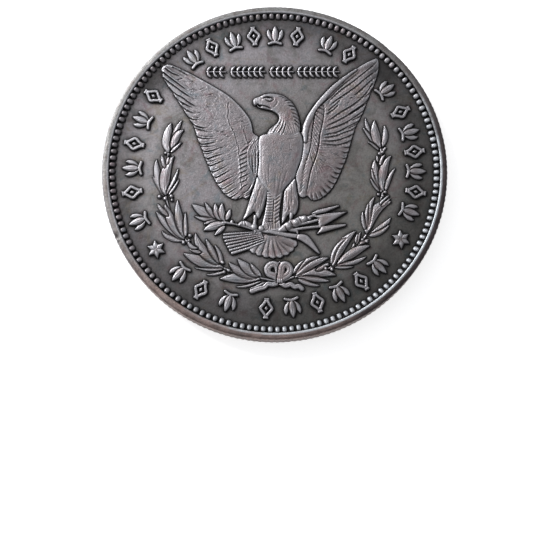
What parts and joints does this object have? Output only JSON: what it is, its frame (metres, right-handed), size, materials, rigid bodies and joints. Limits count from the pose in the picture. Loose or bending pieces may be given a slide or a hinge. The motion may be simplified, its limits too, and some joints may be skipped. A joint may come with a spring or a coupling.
{
  "type": "challenge coin",
  "caption": "Antique silver finish challenge coin with a raised eagle, laurel wreath, beaded border and reeded edge.",
  "frame": {"origin": "middle of the plane the back rim rests on, on the coin's axis", "axes": "+Z out of the eagle face along the coin's axis, +Y to the top of the eagle's design, +X to the right as the eagle face is read"},
  "size_m": [0.038, 0.038, 0.0025],
  "materials": {
    "coin_field": "antique silver plate over copper, satin",
    "struck_relief": "antique silver plate over copper, satin",
    "border_beads": "antique silver plate over copper, satin"
  },
  "bodies": {
    "root": {"arrow_bundle": "struck_relief", "back_bead_ring": "border_beads", "back_compass_star": "struck_relief", "back_star_ring": "struck_relief", "back_wreath_left": "struck_relief", "back_wreath_right": "struck_relief", "border_ornaments_lower": "struck_relief", "border_ornaments_upper": "struck_relief", "coin_blank": "coin_field", "eagle_body": "struck_relief", "eagle_foot_left": "struck_relief", "eagle_foot_right": "struck_relief", "eagle_head": "struck_relief", "eagle_leg_left": "struck_relief", "eagle_leg_right": "struck_relief", "eagle_tail": "struck_relief", "eagle_wing_left": "struck_relief", "eagle_wing_right": "struck_relief", "front_bead_ring": "border_beads", "leaf_sprig": "struck_relief", "leafy_rule": "struck_relief", "ribbon_bow": "struck_relief", "star_left": "struck_relief", "star_right": "struck_relief", "wreath_left": "struck_relief", "wreath_right": "struck_relief"}
  },
  "joints": []
}
